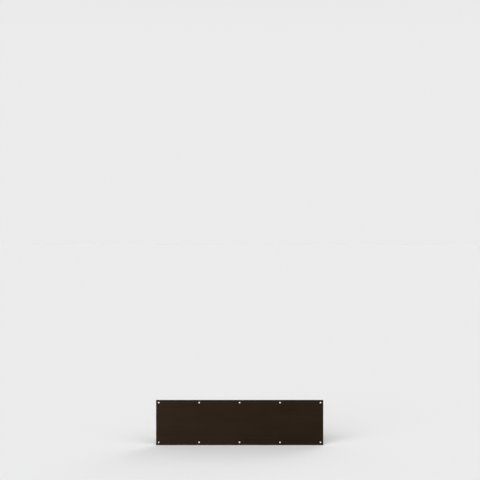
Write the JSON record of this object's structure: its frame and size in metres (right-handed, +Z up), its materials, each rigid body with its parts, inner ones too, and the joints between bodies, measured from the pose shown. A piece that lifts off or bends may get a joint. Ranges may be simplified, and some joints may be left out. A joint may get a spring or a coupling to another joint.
{
  "type": "kick plate",
  "caption": "Dark bronze kick plate for the foot of a door: a thin rectangular metal plate with bevelled edges, held by bright oval-head screws along its top and bottom edges.",
  "frame": {"origin": "centre of the plate's back face, the face that lies on the door", "axes": "+Z up, +X along the plate's length, +Y out of the back face into the door, so the front face looks along -Y"},
  "size_m": [0.8636, 0.0169, 0.2336],
  "materials": {
    "bronze_plate": "satin",
    "bright_screw": "polished"
  },
  "bodies": {
    "root": {"kick_plate": "bronze_plate", "screw_top_1": "bright_screw", "screw_top_2": "bright_screw", "screw_top_3": "bright_screw", "screw_top_4": "bright_screw", "screw_top_5": "bright_screw", "screw_bottom_1": "bright_screw", "screw_bottom_2": "bright_screw", "screw_bottom_3": "bright_screw", "screw_bottom_4": "bright_screw", "screw_bottom_5": "bright_screw"}
  },
  "joints": []
}
